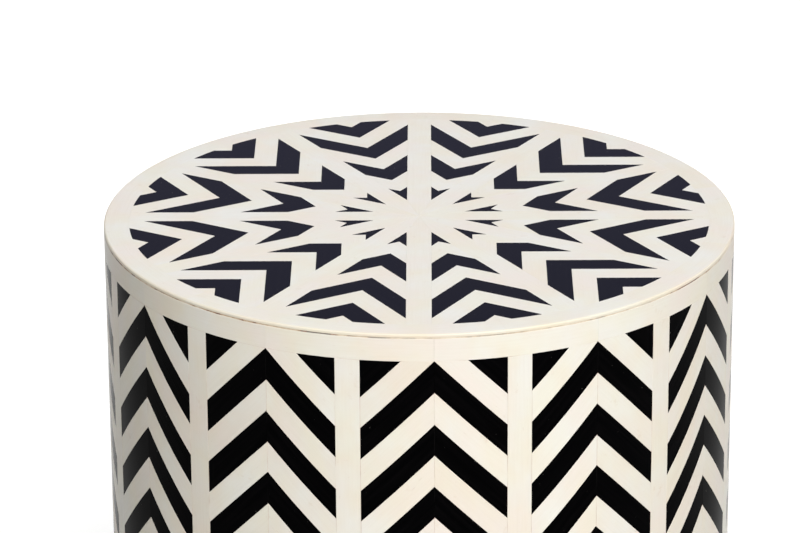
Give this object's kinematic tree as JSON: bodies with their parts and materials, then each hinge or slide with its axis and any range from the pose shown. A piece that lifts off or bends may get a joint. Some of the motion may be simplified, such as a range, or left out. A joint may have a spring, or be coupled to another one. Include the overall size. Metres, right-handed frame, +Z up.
{
  "type": "drum side table",
  "caption": "Round drum side table of wooden staves, veneered all over with bone and black strips laid in chevrons, with a star on the top and foot pads below.",
  "frame": {"origin": "on the floor, under the middle of the drum", "axes": "+Z up along the drum's axis, -Y towards the front, +X to the right seen from the front"},
  "size_m": [0.4, 0.4, 0.45],
  "materials": {
    "bone_inlay": "polished ivory-coloured bone strip with fine grain and hairline joints",
    "black_inlay": "polished black horn or resin strip, close to black",
    "core_wood": "plain sawn hardwood, unfinished inside and brushed with thin stain below",
    "nail_steel": "dull cut steel",
    "foot_pad": "matt black moulded pad"
  },
  "bodies": {
    "root": {"base_band": "bone_inlay", "base_board": "core_wood", "base_board_nails": "nail_steel", "base_cleats": "core_wood", "drum_staves": "core_wood", "foot_nails": "nail_steel", "foot_pads": "foot_pad", "panel_01_bone_strips": "bone_inlay", "panel_01_dark_strips": "black_inlay", "panel_02_bone_strips": "bone_inlay", "panel_02_dark_strips": "black_inlay", "panel_03_bone_strips": "bone_inlay", "panel_03_dark_strips": "black_inlay", "panel_04_bone_strips": "bone_inlay", "panel_04_dark_strips": "black_inlay", "panel_05_bone_strips": "bone_inlay", "panel_05_dark_strips": "black_inlay", "panel_06_bone_strips": "bone_inlay", "panel_06_dark_strips": "black_inlay", "panel_07_bone_strips": "bone_inlay", "panel_07_dark_strips": "black_inlay", "panel_08_bone_strips": "bone_inlay", "panel_08_dark_strips": "black_inlay", "panel_09_bone_strips": "bone_inlay", "panel_09_dark_strips": "black_inlay", "panel_10_bone_strips": "bone_inlay", "panel_10_dark_strips": "black_inlay", "panel_11_bone_strips": "bone_inlay", "panel_11_dark_strips": "black_inlay", "panel_12_bone_strips": "bone_inlay", "panel_12_dark_strips": "black_inlay", "stile_01": "bone_inlay", "stile_02": "bone_inlay", "stile_03": "bone_inlay", "stile_04": "bone_inlay", "stile_05": "bone_inlay", "stile_06": "bone_inlay", "stile_07": "bone_inlay", "stile_08": "bone_inlay", "stile_09": "bone_inlay", "stile_10": "bone_inlay", "stile_11": "bone_inlay", "stile_12": "bone_inlay", "top_band": "bone_inlay", "top_board": "core_wood", "top_board_nails": "nail_steel", "top_bone_chevrons_inner": "bone_inlay", "top_bone_chevrons_middle": "bone_inlay", "top_bone_chevrons_outer": "bone_inlay", "top_cleats": "core_wood", "top_dark_chevrons_inner": "black_inlay", "top_dark_chevrons_middle": "black_inlay", "top_dark_chevrons_outer": "black_inlay", "top_darts": "black_inlay", "top_edge_pieces": "bone_inlay", "top_rim": "bone_inlay", "top_spokes": "bone_inlay"}
  },
  "joints": []
}
